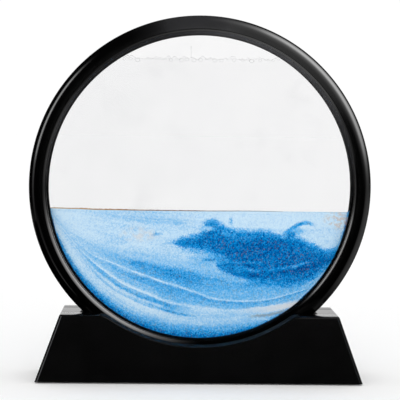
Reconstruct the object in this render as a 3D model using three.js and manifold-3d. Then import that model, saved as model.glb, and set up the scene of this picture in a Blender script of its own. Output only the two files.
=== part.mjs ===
// Moving sand art frame: a round glass cell of liquid and sand in a black frame, standing in a slotted base.
// Sizes are millimetres. Z is up, X runs along the base, and the front faces -Y.
import * as THREE from "three";
import { mergeVertices } from "three/addons/utils/BufferGeometryUtils.js";
import Module from "manifold-3d";

const wasm = await Module();
wasm.setup();

// Frame: the two bezels that hold the cell
const FRAME_DIAMETER = 180;
const FRAME_DEPTH = 21;
const FACE_WIDTH = 10.5;
const OUTER_ROUND = 7;
const CREASE_STEP = 0.15;
const CREASE_RUN = 0.25;
const BEVEL_WIDTH = 2.5;
const BEVEL_BULGE = 0.09;
const LIP_THICKNESS = 2.9;
const LIP_ROUND = 0.5;
const SEAM_CHAMFER = 0.3;
const TONGUE_WIDTH = 1.2;
const TONGUE_HEIGHT = 1.5;
const TONGUE_CLEARANCE = 0.2;

// Cell: panes, spacer, seals and the fill plug
const GLASS_THICKNESS = 2.2;
const GLASS_COVER = 6.5;
const GLASS_SEAM = 0.4;
const POCKET_CLEARANCE = 0.4;
const CELL_GAP = 4.6;
const CELL_SETBACK = 1;
const SEAL_THICKNESS = 0.5;
const SEAL_MARGIN = 1;
const PORT_DIAMETER = 2.4;
const PLUG_HEAD_DIAMETER = 6;
const PLUG_CLEARANCE = 0.2;
const PLUG_RECESS = 0.8;
const PLUG_ROUND = 0.5;

// Contents of the cell
const CONTENTS_CLEARANCE = 0.3;
const LAYER_GAP = 0.3;
const SAND_DEPTH = 68.1;
const GOLD_THICKNESS = 0.8;
const AIR_POCKET = 12.5;
const BUBBLE_PITCH = 3.1;
const BUBBLE_RADIUS = 1.2;
const BUBBLE_VARIETY = 0.25;
const BUBBLE_RHYTHM = 2.4;

// Stand: a moulded shell with a slot, closed by a cover on four foot pads
const STAND_BOTTOM_WIDTH = 169.8;
const STAND_TOP_WIDTH = 144.6;
const STAND_BOTTOM_DEPTH = 46.4;
const STAND_TOP_DEPTH = 45.2;
const STAND_HEIGHT = 35.6;
const STAND_CORNER_ROUND = 1.6;
const STAND_TOP_ROUND = 1;
const STAND_WALL = 2.4;
const FRAME_REST_HEIGHT = 11.3;
const SLOT_CLEARANCE = 0.3;
const FRAME_COVER = 8;
const SCALLOP_BLEND = 8;
const RIB_THICKNESS = 1.6;
const RIB_PITCH = 24;
const COVER_THICKNESS = 2;
const COVER_CLEARANCE = 0.3;
const FOOT_DIAMETER = 12;
const FOOT_HEIGHT = 0.8;
const FOOT_RECESS = 0.6;
const FOOT_INSET = 11;

// Facets
const RING_STEPS = 72;
const SMALL_STEPS = 24;
const ROUND_STEPS = 6;
const LONG_ROUND_STEPS = 8;
const LINE_STEPS = 2;
const SAME_POINT = 1e-4;

// Sizes that follow from the ones above
const frameRadius = FRAME_DIAMETER / 2;
const halfDepth = FRAME_DEPTH / 2;
const lipRadius = frameRadius - FACE_WIDTH;
const glassInner = CELL_GAP / 2;
const glassOuter = glassInner + GLASS_THICKNESS;
const glassRadius = lipRadius + GLASS_COVER;
const pocketRadius = glassRadius + POCKET_CLEARANCE;
const cellRadius = lipRadius + CELL_SETBACK;
const contentsRadius = cellRadius - CONTENTS_CLEARANCE;
const contentsDepth = CELL_GAP - 2 * CONTENTS_CLEARANCE;
const frameCentre = FRAME_REST_HEIGHT + frameRadius;
const slotRadius = frameRadius + SLOT_CLEARANCE;
const slotHalf = halfDepth + SLOT_CLEARANCE;
const farAway = FRAME_DIAMETER;

// Materials
const blackGloss = { color: 0x0b0b0c, roughness: 0.12, metalness: 0 };
const blackMatte = { color: 0x161617, roughness: 0.5, metalness: 0 };
const blackRubber = { color: 0x1c1c1d, roughness: 0.8, metalness: 0 };
const clearGlass = { color: 0xeef1f3, roughness: 0.03, metalness: 0 };
const clearLiquid = { color: 0xf1f2f5, roughness: 0.05, metalness: 0 };
const sealGrey = { color: 0x2a2a2c, roughness: 0.6, metalness: 0 };

function sandOf(color) {
  return { color, roughness: 0.85, metalness: 0 };
}

function solidOf(geometry) {
  const bare = new THREE.BufferGeometry();
  bare.setAttribute("position", geometry.getAttribute("position"));
  if (geometry.index) {
    bare.setIndex(geometry.index);
  }
  const merged = mergeVertices(bare, SAME_POINT);
  const corners = merged.index.array;
  const kept = [];
  for (let i = 0; i < corners.length; i += 3) {
    const [a, b, c] = [corners[i], corners[i + 1], corners[i + 2]];
    if (a !== b && b !== c && c !== a) {
      kept.push(a, b, c);
    }
  }
  const vertProperties = new Float32Array(merged.getAttribute("position").array);
  return new wasm.Manifold(new wasm.Mesh({ numProp: 3, vertProperties, triVerts: new Uint32Array(kept) }));
}

function geometryOf(solid) {
  const mesh = solid.getMesh();
  const geometry = new THREE.BufferGeometry();
  geometry.setAttribute("position", new THREE.BufferAttribute(mesh.vertProperties, mesh.numProp));
  geometry.setIndex(new THREE.BufferAttribute(mesh.triVerts, 1));
  geometry.computeVertexNormals();
  return geometry;
}

function piece(name, solid, look) {
  const mesh = new THREE.Mesh(geometryOf(solid), new THREE.MeshStandardMaterial(look));
  mesh.name = name;
  return mesh;
}

// A ring or disc turned round the Y axis from an outline of [radius, y] corners
function turned(outline, steps = RING_STEPS) {
  const points = outline.map(([radius, y]) => new THREE.Vector2(radius, y));
  if (THREE.ShapeUtils.area(points) < 0) {
    points.reverse();
  }
  points.push(points[0].clone());
  return solidOf(new THREE.LatheGeometry(points, steps));
}

// A round bar along Y, or along Z when upright
function bar(radius, from, to, steps, upright = false) {
  const geometry = new THREE.CylinderGeometry(radius, radius, to - from, steps);
  if (upright) {
    geometry.rotateX(Math.PI / 2);
    geometry.translate(0, 0, (from + to) / 2);
  } else {
    geometry.translate(0, (from + to) / 2, 0);
  }
  return solidOf(geometry);
}

function block(width, depth, height, x, y, z) {
  return solidOf(new THREE.BoxGeometry(width, depth, height)).translate([x, y, z]);
}

// An outline in X and Z, thickened to both sides of Y
function extruded(outline, depth) {
  const geometry = new THREE.ExtrudeGeometry(new THREE.Shape(outline), { depth, bevelEnabled: false });
  geometry.rotateX(Math.PI / 2);
  geometry.translate(0, depth / 2, 0);
  return solidOf(geometry);
}

// Corners on a round from one angle to another
function roundCorners(centreX, centreY, radius, fromAngle, toAngle) {
  const corners = [];
  for (let i = 0; i <= ROUND_STEPS; i += 1) {
    const angle = fromAngle + ((toAngle - fromAngle) * i) / ROUND_STEPS;
    corners.push([centreX + radius * Math.cos(angle), centreY + radius * Math.sin(angle)]);
  }
  return corners;
}

// Front bezel
const creaseRadius = frameRadius - OUTER_ROUND;
const bevelTop = [creaseRadius - CREASE_RUN, -halfDepth + CREASE_STEP];
const bevelFoot = [bevelTop[0] - BEVEL_WIDTH, -glassOuter - LIP_THICKNESS - LIP_ROUND];
const bevelMiddle = [
  (bevelTop[0] + bevelFoot[0]) / 2 - BEVEL_BULGE,
  (bevelTop[1] + bevelFoot[1]) / 2 - BEVEL_BULGE,
];
const rimMiddle = (pocketRadius + frameRadius) / 2;
const grooveHalf = TONGUE_WIDTH / 2 + TONGUE_CLEARANCE;
const grooveDepth = TONGUE_HEIGHT + TONGUE_CLEARANCE;

const frontFace = [
  [frameRadius - SEAM_CHAMFER, 0],
  [frameRadius, -SEAM_CHAMFER],
  ...roundCorners(creaseRadius, -halfDepth + OUTER_ROUND, OUTER_ROUND, 0, -Math.PI / 2),
  bevelTop,
  bevelMiddle,
  bevelFoot,
  [lipRadius + LIP_ROUND, -glassOuter - LIP_THICKNESS],
  [lipRadius, -glassOuter - LIP_THICKNESS + LIP_ROUND],
  [lipRadius, -glassOuter],
  [pocketRadius, -glassOuter],
  [pocketRadius, 0],
];
const groove = [
  [rimMiddle - grooveHalf, 0],
  [rimMiddle - grooveHalf, -grooveDepth],
  [rimMiddle + grooveHalf, -grooveDepth],
  [rimMiddle + grooveHalf, 0],
];
const tongue = [
  [rimMiddle - TONGUE_WIDTH / 2, 0],
  [rimMiddle - TONGUE_WIDTH / 2, -TONGUE_HEIGHT],
  [rimMiddle + TONGUE_WIDTH / 2, -TONGUE_HEIGHT],
  [rimMiddle + TONGUE_WIDTH / 2, 0],
];
const rearFace = frontFace.slice(0, -1).map(([radius, y]) => [radius, -y]);
const headBore = bar(PLUG_HEAD_DIAMETER / 2 + PLUG_CLEARANCE, 0, farAway, SMALL_STEPS, true);
const frontBezel = turned([...frontFace, ...groove]).subtract(headBore);
const rearBezel = turned([...rearFace, [pocketRadius, 0], ...tongue]).subtract(headBore);

// Panes with ground edges
function pane(side) {
  return turned([
    [0, side * glassOuter],
    [glassRadius - GLASS_SEAM, side * glassOuter],
    [glassRadius, side * (glassOuter - GLASS_SEAM)],
    [glassRadius, side * (glassInner + GLASS_SEAM)],
    [glassRadius - GLASS_SEAM, side * glassInner],
    [0, side * glassInner],
  ]);
}

function band(innerRadius, outerRadius, from, to) {
  return turned([
    [innerRadius, from],
    [outerRadius, from],
    [outerRadius, to],
    [innerRadius, to],
  ]);
}

// Spacer with its port, and a seal on each side of it
const spacerHalf = glassInner - SEAL_THICKNESS;
const port = bar(PORT_DIAMETER / 2, 0, farAway, SMALL_STEPS, true);
const spacer = band(cellRadius, glassRadius, -spacerHalf, spacerHalf).subtract(port);
const sealInner = cellRadius + SEAL_MARGIN;
const sealOuter = glassRadius - SEAL_MARGIN;

// Stopper: a shank through the spacer and a rounded head in the rim
const shankRadius = PORT_DIAMETER / 2 - PLUG_CLEARANCE;
const headRadius = PLUG_HEAD_DIAMETER / 2;
const headTop = frameRadius - PLUG_RECESS;
const stopper = turned(
  [
    [0, cellRadius + PLUG_CLEARANCE],
    [shankRadius, cellRadius + PLUG_CLEARANCE],
    [shankRadius, pocketRadius],
    [headRadius, pocketRadius],
    [headRadius, headTop - PLUG_ROUND],
    [headRadius - PLUG_ROUND, headTop],
    [0, headTop],
  ],
  SMALL_STEPS,
).rotate([90, 0, 0]);

// Sand lines run from left to right.
// Each corner is a share of the cell's radius and a share of the sand's depth.
const floorLine = [
  [-1.04, 0.97],
  [-0.93, 0.765],
  [-0.85, 0.595],
  [-0.745, 0.44],
  [-0.61, 0.309],
  [-0.475, 0.201],
  [-0.34, 0.14],
  [-0.21, 0.102],
  [-0.02, 0.077],
  [0.11, 0.07],
  [0.25, 0.084],
  [0.414, 0.125],
  [0.6, 0.16],
  [1.04, 0.2],
];
const driftLine = [
  [-1.04, 0.975],
  [-0.92, 0.866],
  [-0.76, 0.651],
  [-0.6, 0.501],
  [-0.475, 0.412],
  [-0.34, 0.344],
  [-0.21, 0.283],
  [-0.07, 0.253],
  [0.04, 0.238],
  [0.25, 0.225],
  [0.445, 0.251],
  [0.65, 0.3],
  [1.04, 0.36],
];
const sweepLine = [
  [-1.04, 0.98],
  [-0.92, 0.92],
  [-0.815, 0.774],
  [-0.68, 0.694],
  [-0.55, 0.638],
  [-0.41, 0.601],
  [-0.28, 0.571],
  [-0.14, 0.541],
  [0, 0.515],
  [0.12, 0.5],
  [0.2, 0.48],
  [0.31, 0.445],
  [0.475, 0.42],
  [0.58, 0.405],
  [0.715, 0.44],
  [0.78, 0.485],
  [0.86, 0.55],
  [1.04, 0.66],
];
const duneCrest = [
  [0.066, 0.935],
  [0.13, 0.9],
  [0.24, 0.87],
  [0.37, 0.848],
  [0.45, 0.846],
  [0.58, 0.811],
  [0.645, 0.795],
  [0.71, 0.747],
  [0.78, 0.694],
  [0.85, 0.68],
  [0.92, 0.711],
  [1.04, 0.76],
];
const capLine = [
  [-1.04, 0.985],
  [-0.82, 0.965],
  [-0.645, 0.95],
  [-0.55, 0.93],
  [-0.415, 0.912],
  [-0.28, 0.898],
  [-0.145, 0.888],
  [-0.02, 0.88],
  ...duneCrest,
];
const duneTop = [
  [-0.19, 0.755],
  [-0.11, 0.79],
  [-0.03, 0.808],
  [0.03, 0.86],
  ...duneCrest,
];
const duneFoot = [
  [-0.19, 0.735],
  [-0.13, 0.7],
  [-0.03, 0.69],
  [0.05, 0.68],
  [0.085, 0.614],
  [0.123, 0.552],
  [0.2, 0.518],
  [0.275, 0.492],
  [0.375, 0.465],
  [0.475, 0.45],
  [0.58, 0.435],
  [0.65, 0.45],
  [0.715, 0.476],
  [0.78, 0.517],
  [0.853, 0.577],
  [1.04, 0.72],
];
const levelLine = [
  [-1.04, 1],
  [1.04, 1],
];
const bottomLine = [
  [-1.04, -0.1],
  [1.04, -0.1],
];
const goldReach = [-0.96, 0.22];

// A smooth line through sand corners, raised by a given amount
function sandLine(corners, raise) {
  const knots = corners.map(
    ([across, up]) =>
      new THREE.Vector2(across * contentsRadius, up * SAND_DEPTH - contentsRadius + raise),
  );
  return new THREE.SplineCurve(knots).getPoints(LINE_STEPS * (knots.length - 1));
}

function between(lower, upper, inset) {
  return extruded([...sandLine(lower, inset), ...sandLine(upper, -inset).reverse()], contentsDepth);
}

const cellDisc = bar(contentsRadius, -contentsDepth, contentsDepth, RING_STEPS);
const layerInset = LAYER_GAP / 2;

function layer(lower, upper) {
  return between(lower, upper, layerInset).intersect(cellDisc);
}

const duneRoom = between(duneFoot, duneTop, -layerInset).translate([-layerInset, 0, 0]);
const duneRest = between(duneFoot, duneTop, -layerInset);
const swell = layer(sweepLine, capLine).subtract(duneRoom).subtract(duneRest);

// Gold dusting along the left of the top line
const sandTop = SAND_DEPTH - contentsRadius;
const goldWidth = (goldReach[1] - goldReach[0]) * contentsRadius;
const goldMiddle = ((goldReach[1] + goldReach[0]) * contentsRadius) / 2;
const goldDusting = block(
  goldWidth, contentsDepth, GOLD_THICKNESS, goldMiddle, 0, sandTop + layerInset + GOLD_THICKNESS / 2,
).intersect(cellDisc);

// Liquid from the sand up to the air pocket, with a row of bubbles biting into its top
const liquidFoot = sandTop + GOLD_THICKNESS + LAYER_GAP + layerInset;
const liquidTop = contentsRadius - AIR_POCKET;
const halfChord = Math.sqrt(contentsRadius ** 2 - liquidTop ** 2);
const bubbleCount = Math.floor((2 * halfChord) / BUBBLE_PITCH) - 1;
const liquidOutline = new THREE.Path();
liquidOutline.moveTo(-farAway, liquidFoot);
liquidOutline.lineTo(farAway, liquidFoot);
liquidOutline.lineTo(farAway, liquidTop);
for (let i = 0; i < bubbleCount; i += 1) {
  const x = ((bubbleCount - 1) / 2 - i) * BUBBLE_PITCH;
  const radius = BUBBLE_RADIUS * (1 - BUBBLE_VARIETY * (1 + Math.sin(BUBBLE_RHYTHM * i)));
  liquidOutline.lineTo(x + radius, liquidTop);
  liquidOutline.absarc(x, liquidTop, radius, 0, -Math.PI, true);
}
liquidOutline.lineTo(-farAway, liquidTop);
const liquid = extruded(liquidOutline.getPoints(ROUND_STEPS), contentsDepth).intersect(cellDisc);

// Stand: rounded rectangles stacked up the draft of the walls
function roundedRectangle(halfWidth, halfLength, radius) {
  const corners = [];
  const signs = [[1, 1], [-1, 1], [-1, -1], [1, -1]];
  signs.forEach(([signX, signY], quarter) => {
    const start = (quarter * Math.PI) / 2;
    const centreX = signX * (halfWidth - radius);
    const centreY = signY * (halfLength - radius);
    corners.push(...roundCorners(centreX, centreY, radius, start, start + Math.PI / 2));
  });
  return corners;
}

// A closed solid through stacked sections of equal corner counts, from the lowest up
function stacked(sections) {
  const count = sections[0].corners.length;
  const positions = [];
  const triangles = [];
  sections.forEach(({ corners, z }) => corners.forEach(([x, y]) => positions.push(x, y, z)));
  for (let level = 0; level < sections.length - 1; level += 1) {
    for (let i = 0; i < count; i += 1) {
      const next = (i + 1) % count;
      const low = level * count;
      const high = low + count;
      triangles.push(low + i, low + next, high + next, low + i, high + next, high + i);
    }
  }
  const last = (sections.length - 1) * count;
  for (let i = 1; i < count - 1; i += 1) {
    triangles.push(0, i + 1, i, last, last + i, last + i + 1);
  }
  const geometry = new THREE.BufferGeometry();
  geometry.setAttribute("position", new THREE.Float32BufferAttribute(positions, 3));
  geometry.setIndex(triangles);
  return solidOf(geometry);
}

const shellHeight = STAND_HEIGHT - FOOT_HEIGHT;

function standSection(z, inset) {
  const share = (z - FOOT_HEIGHT) / shellHeight;
  const width = THREE.MathUtils.lerp(STAND_BOTTOM_WIDTH, STAND_TOP_WIDTH, share);
  const depth = THREE.MathUtils.lerp(STAND_BOTTOM_DEPTH, STAND_TOP_DEPTH, share);
  const corners = roundedRectangle(width / 2 - inset, depth / 2 - inset, STAND_CORNER_ROUND);
  return { corners, z };
}

const outerSections = [standSection(FOOT_HEIGHT, 0)];
for (let i = 0; i <= ROUND_STEPS; i += 1) {
  const angle = (i / ROUND_STEPS) * (Math.PI / 2);
  const section = standSection(
    STAND_HEIGHT - STAND_TOP_ROUND * (1 - Math.sin(angle)),
    STAND_TOP_ROUND * (1 - Math.cos(angle)),
  );
  outerSections.push(section);
}
const coverTop = FOOT_HEIGHT + COVER_THICKNESS;
const ceiling = STAND_HEIGHT - STAND_WALL;
let hollow = stacked([standSection(0, STAND_WALL), standSection(ceiling, STAND_WALL)]);
const coverRoom = stacked([standSection(0, STAND_WALL / 2), standSection(coverTop, STAND_WALL / 2)]);

// A scallop round the frame's axis that rolls over into the top face, grown by a given thickness
function scallopCutter(grow) {
  const radius = frameRadius - FRAME_COVER + grow;
  const blend = SCALLOP_BLEND - grow;
  const top = STAND_HEIGHT - grow;
  const blendZ = top - blend;
  const reach = radius + blend;
  const blendX = Math.sqrt(reach ** 2 - (frameCentre - blendZ) ** 2);
  const turn = Math.atan2(frameCentre - blendZ, blendX);
  const outline = new THREE.Path();
  outline.moveTo(blendX, farAway);
  outline.lineTo(-blendX, farAway);
  outline.absarc(-blendX, blendZ, blend, Math.PI / 2, turn, true);
  outline.absarc(0, frameCentre, radius, Math.PI + turn, 2 * Math.PI - turn, false);
  outline.absarc(blendX, blendZ, blend, Math.PI - turn, Math.PI / 2, true);
  return extruded(outline.getPoints(LONG_ROUND_STEPS), STAND_BOTTOM_DEPTH + STAND_WALL);
}

// The slot's own walls, the scallop's roof and the cross ribs stay in the hollow
const slotBody = bar(slotRadius + STAND_WALL, -slotHalf - STAND_WALL, slotHalf + STAND_WALL, RING_STEPS);
hollow = hollow.subtract(slotBody.translate([0, 0, frameCentre]));
hollow = hollow.subtract(scallopCutter(STAND_WALL));
const ribFoot = coverTop + COVER_CLEARANCE;
const ribCount = Math.floor(STAND_TOP_WIDTH / RIB_PITCH);
for (let i = 0; i < ribCount; i += 1) {
  const x = (i - (ribCount - 1) / 2) * RIB_PITCH;
  hollow = hollow.subtract(block(RIB_THICKNESS, farAway, farAway, x, 0, ribFoot + farAway / 2));
}
const slot = bar(slotRadius, -slotHalf, slotHalf, RING_STEPS).translate([0, 0, frameCentre]);
const standShell = stacked(outerSections)
  .subtract(slot)
  .subtract(scallopCutter(0))
  .subtract(coverRoom)
  .subtract(hollow);

// Bottom cover, with a recess for each foot pad
const coverInset = STAND_WALL / 2 + COVER_CLEARANCE;
let cover = stacked([standSection(FOOT_HEIGHT, coverInset), standSection(coverTop, coverInset)]);
const feet = [];
for (const [endName, signX] of [["left", -1], ["right", 1]]) {
  for (const [sideName, signY] of [["front", -1], ["rear", 1]]) {
    const x = signX * (STAND_BOTTOM_WIDTH / 2 - FOOT_INSET);
    const y = signY * (STAND_BOTTOM_DEPTH / 2 - FOOT_INSET);
    const footTop = FOOT_HEIGHT + FOOT_RECESS;
    const recess = bar(FOOT_DIAMETER / 2 + COVER_CLEARANCE, 0, footTop, SMALL_STEPS, true);
    cover = cover.subtract(recess.translate([x, y, 0]));
    const foot = bar(FOOT_DIAMETER / 2, 0, footTop, SMALL_STEPS, true).translate([x, y, 0]);
    feet.push(piece(`foot_pad_${sideName}_${endName}`, foot, blackRubber));
  }
}

const stand = new THREE.Group();
stand.name = "stand";
stand.add(piece("stand_shell", standShell, blackGloss));
stand.add(piece("stand_bottom_cover", cover, blackMatte));
stand.add(...feet);

const frame = new THREE.Group();
frame.name = "frame";
frame.position.z = frameCentre;
frame.add(piece("front_bezel", frontBezel, blackGloss));
frame.add(piece("rear_bezel", rearBezel, blackGloss));
frame.add(piece("front_glass", pane(-1), clearGlass));
frame.add(piece("rear_glass", pane(1), clearGlass));
frame.add(piece("spacer_ring", spacer, blackGloss));
frame.add(piece("front_seal", band(sealInner, sealOuter, -glassInner, -spacerHalf), sealGrey));
frame.add(piece("rear_seal", band(sealInner, sealOuter, spacerHalf, glassInner), sealGrey));
frame.add(piece("fill_plug", stopper, blackRubber));

const contents = new THREE.Group();
contents.name = "contents";
contents.position.z = frameCentre;
contents.add(piece("liquid", liquid, clearLiquid));
contents.add(piece("sand_floor", layer(bottomLine, floorLine), sandOf(0x2b84c2)));
contents.add(piece("sand_drift", layer(floorLine, driftLine), sandOf(0xb8dbf3)));
contents.add(piece("sand_sweep", layer(driftLine, sweepLine), sandOf(0x5cade6)));
contents.add(piece("sand_swell", swell, sandOf(0xc6e2f6)));
contents.add(piece("sand_dune", layer(duneFoot, duneTop), sandOf(0x0d68b2)));
contents.add(piece("sand_cap", layer(capLine, levelLine), sandOf(0xbcdcf3)));
contents.add(piece("sand_gold", goldDusting, sandOf(0xb58a55)));

const sandArtFrame = new THREE.Group();
sandArtFrame.name = "moving_sand_art_frame";
sandArtFrame.add(stand, frame, contents);

export default sandArtFrame;
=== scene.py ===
# %% [markdown]
# # Moving sand art frame
#
# A round black frame holds two panes with liquid and blue sand between them, and stands in the slot of
# a black base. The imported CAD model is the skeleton: every piece made here rides one of its bodies.

import math

import bmesh
import bpy
import numpy as np
from mathutils import Color, Matrix, Vector


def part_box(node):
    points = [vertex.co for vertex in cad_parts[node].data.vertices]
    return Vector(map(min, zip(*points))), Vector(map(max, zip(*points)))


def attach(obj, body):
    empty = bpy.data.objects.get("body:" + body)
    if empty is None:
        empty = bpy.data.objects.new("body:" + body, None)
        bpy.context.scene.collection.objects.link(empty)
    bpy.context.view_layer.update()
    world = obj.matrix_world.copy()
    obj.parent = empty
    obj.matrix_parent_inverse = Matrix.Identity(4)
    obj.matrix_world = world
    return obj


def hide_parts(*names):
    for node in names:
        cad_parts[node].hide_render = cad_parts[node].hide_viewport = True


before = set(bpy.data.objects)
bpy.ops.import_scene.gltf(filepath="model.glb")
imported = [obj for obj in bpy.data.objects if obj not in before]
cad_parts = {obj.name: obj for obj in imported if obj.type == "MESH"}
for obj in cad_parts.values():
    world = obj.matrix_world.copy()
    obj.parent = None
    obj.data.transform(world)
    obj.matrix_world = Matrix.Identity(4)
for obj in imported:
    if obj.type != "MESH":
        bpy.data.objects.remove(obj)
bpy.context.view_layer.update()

# %% [markdown]
# ## Sizes
#
# The visible pieces have to fit the CAD model. Its sizes could be typed in again, but here they are read
# from the CAD nodes, in metres, so that the pieces follow them. Finer sizes, of edges and roundings, are
# set in the step that needs them.

# %% Sizes
MM = 0.001
LIP_WIDTH = 10.6 * MM

ring_low, ring_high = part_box("front_bezel")
glass_low, glass_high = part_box("front_glass")
stand_low, stand_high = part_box("stand_shell")
liquid_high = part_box("liquid")[1]

FRAME_RADIUS = (ring_high.x - ring_low.x) / 2
HALF_DEPTH = -ring_low.y
CENTRE_Z = (ring_high.z + ring_low.z) / 2
GLASS_RADIUS = glass_high.x
GLASS_FACE = -glass_low.y
CELL_HALF = -glass_high.y
CELL_RADIUS = liquid_high.x
LIP_RADIUS = FRAME_RADIUS - LIP_WIDTH
SAND_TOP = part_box("sand_cap")[1].z
LIQUID_TOP = liquid_high.z
print(f"ring radius {FRAME_RADIUS / MM:.1f} mm, axis at {CENTRE_Z / MM:.1f} mm")
print(f"cell radius {CELL_RADIUS / MM:.1f} mm, panes {2 * CELL_HALF / MM:.1f} mm apart")
print(f"sand up to {SAND_TOP / MM:.1f} mm, liquid up to {LIQUID_TOP / MM:.1f} mm")

# %% [markdown]
# ## Camera
#
# The camera stands a little to the left and above the middle of the frame, with a long lens. It could
# be set by eye, but a fit of its place, turn and lens to the stand's corners and the ring is closer.
# A ray through both panes, the liquid and a bubble crosses more clear faces than Blender follows by
# default, and what lies behind then turns black, so that count is raised too.

# %% Camera
CAMERA_AT = Vector((-22.0, -852.5, 137.0)) * MM
CAMERA_YAW = math.radians(-1.48)
CAMERA_PITCH = math.radians(-2.86)
CAMERA_ROLL = math.radians(0.66)
LENS = 145.55
SENSOR_WIDTH = 36
NEAREST = 10 * MM
CLEAR_LAYERS = 24

scene = bpy.context.scene
camera_data = bpy.data.cameras.new("Camera")
camera_data.lens = LENS
camera_data.sensor_width = SENSOR_WIDTH
camera_data.clip_start = NEAREST
camera = bpy.data.objects.new("Camera", camera_data)
scene.collection.objects.link(camera)
turn = Matrix.Rotation(CAMERA_YAW, 4, "Z")
tilt = Matrix.Rotation(math.pi / 2 + CAMERA_PITCH, 4, "X")
roll = Matrix.Rotation(CAMERA_ROLL, 4, "Z")
camera.matrix_world = Matrix.Translation(CAMERA_AT) @ turn @ tilt @ roll
scene.camera = camera
scene.view_settings.view_transform = "Standard"
scene.cycles.transparent_max_bounces = CLEAR_LAYERS
print("camera at", [round(v, 4) for v in camera.location])

# %% [markdown]
# ## Values in a node tree
#
# Materials are built from many small nodes. They could be wired one by one, but that is long to write
# and hard to read. Here an output of a node is a Value, and a sum or product of two Values adds the node
# that works it out, so that a material reads like a formula.


# %% Values in a node tree
def seen(*channels):
    """A colour as seen on a screen, 0..255, as the linear colour that a shader takes."""
    return (*Color([channel / 255 for channel in channels]).from_srgb_to_scene_linear(), 1.0)


class Value:
    """An output of a node. Operators and methods add the nodes that work out another one."""

    def __init__(self, nodes, socket):
        self.nodes = nodes
        self.socket = socket

    def __add__(self, other):
        return self.nodes.math("ADD", self, other)

    def __sub__(self, other):
        return self.nodes.math("SUBTRACT", self, other)

    def __rsub__(self, other):
        return self.nodes.math("SUBTRACT", other, self)

    def __mul__(self, other):
        return self.nodes.math("MULTIPLY", self, other)

    def __truediv__(self, other):
        return self.nodes.math("DIVIDE", self, other)

    def __pow__(self, other):
        return self.nodes.math("POWER", self, other)

    def __abs__(self):
        return self.nodes.math("ABSOLUTE", self)

    def span(self, low, high, first=0.0, last=1.0, kind="SMOOTHSTEP"):
        """Goes from first, where this is low, to last, where it is high, and stays there."""
        inputs = {"Value": self, "From Min": low, "From Max": high, "To Min": first, "To Max": last}
        return self.nodes.get("Result", "MapRange", inputs, interpolation_type=kind)

    def scaled(self, first, last):
        """Takes 0..1 evenly to first..last."""
        return self.span(0.0, 1.0, first, last, "LINEAR")

    def window(self, low, full, ebb, high):
        """0 up to low, 1 from full to ebb, and 0 again from high."""
        return self.span(low, full) * self.span(high, ebb)

    def line(self, corners):
        """A smooth line through corners in 0..1, read at this value."""
        node = self.nodes.add("FloatCurve", {"Value": self})
        curve = node.mapping.curves[0]
        curve.points[0].location = corners[0]
        curve.points[1].location = corners[-1]
        for corner in corners[1:-1]:
            curve.points.new(*corner)
        for point in curve.points:
            point.handle_type = "AUTO_CLAMPED"
        node.mapping.update()
        return Value(self.nodes, node.outputs[0])

    def ramp(self, stops):
        """Colours by position, from (position, red, green, blue) stops in 0..255."""
        node = self.nodes.add("ValToRGB", {0: self})
        elements = node.color_ramp.elements
        while len(elements) < len(stops):
            elements.new(1.0)
        for element, (position, *colour) in zip(elements, stops):
            element.position = position
            element.color = seen(*colour)
        return Value(self.nodes, node.outputs[0])

    def split(self):
        """The three parts of a place or a colour."""
        return [Value(self.nodes, part) for part in self.nodes.add("SeparateXYZ", {0: self}).outputs]

    def noise(self, scale, detail=2.0, roughness=0.5):
        """Soft noise from 0 to 1."""
        inputs = {"Vector": self, "Scale": scale, "Detail": detail, "Roughness": roughness}
        return self.nodes.get("Fac", "TexNoise", inputs)

    def sway(self, *looks):
        """Soft noise from -0.5 to 0.5."""
        return self.noise(*looks) - 0.5

    def grains(self, size):
        """Three random numbers, 0 to 1, for each grain of a size in metres."""
        return self.nodes.get("Color", "TexVoronoi", {"Vector": self, "Scale": 1 / size}).split()


print("white as a linear colour:", seen(255, 255, 255))

# %% [markdown]
# ## Node trees
#
# Every material, and the world, has a tree of nodes that ends in a surface. A helper for one tree adds a
# node with its settings and inputs: a plain number goes on the socket itself, and a Value is linked.


# %% Node trees
class Nodes:
    """Adds nodes to one node tree."""

    def __init__(self, tree):
        self.tree = tree
        tree.nodes.clear()

    def add(self, kind, inputs=None, **settings):
        """A node of that kind, with settings as attributes and inputs by name or number."""
        node = self.tree.nodes.new(f"ShaderNode{kind}")
        for name, value in settings.items():
            setattr(node, name, value)
        for name, value in (inputs or {}).items():
            if isinstance(value, Value):
                self.tree.links.new(value.socket, node.inputs[name])
            else:
                node.inputs[name].default_value = value
        return node

    def get(self, output, kind, inputs=None, **settings):
        """One output, by name or number, of a new node."""
        return Value(self, self.add(kind, inputs, **settings).outputs[output])

    def math(self, operation, *values):
        return self.get(0, "Math", dict(enumerate(values)), operation=operation)

    def mix(self, share, first, second):
        return self.get(0, "Mix", {0: share, 2: first, 3: second}, data_type="FLOAT")

    def blend(self, share, first, second):
        """A mix of two colours."""
        return self.get(2, "Mix", {0: share, 6: first, 7: second}, data_type="RGBA")

    def place(self):
        """Where a point is in its piece's own frame, in metres."""
        return self.get("Object", "TexCoord")

    def join(self, x, y, z):
        return self.get(0, "CombineXYZ", {0: x, 1: y, 2: z})

    def shader(self, kind, inputs=None):
        return self.get(0, f"Bsdf{kind}", inputs)

    def bump(self, height, distance, strength):
        return self.get(0, "Bump", {"Height": height, "Distance": distance, "Strength": strength})

    def see_through(self, share, shader, tint=(1, 1, 1, 1)):
        """The surface: that share of a shader, and the rest lets light straight through."""
        clear = self.shader("Transparent", {"Color": tint})
        self.surface(self.get(0, "MixShader", {0: share, 1: clear, 2: shader}))

    def surface(self, shader):
        self.add("OutputMaterial", {"Surface": shader})


def new_material(name):
    """A material with an empty tree, and the helper that fills it."""
    material = bpy.data.materials.new(name)
    material.use_nodes = True
    return material, Nodes(material.node_tree)


print("node helper ready")

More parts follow.
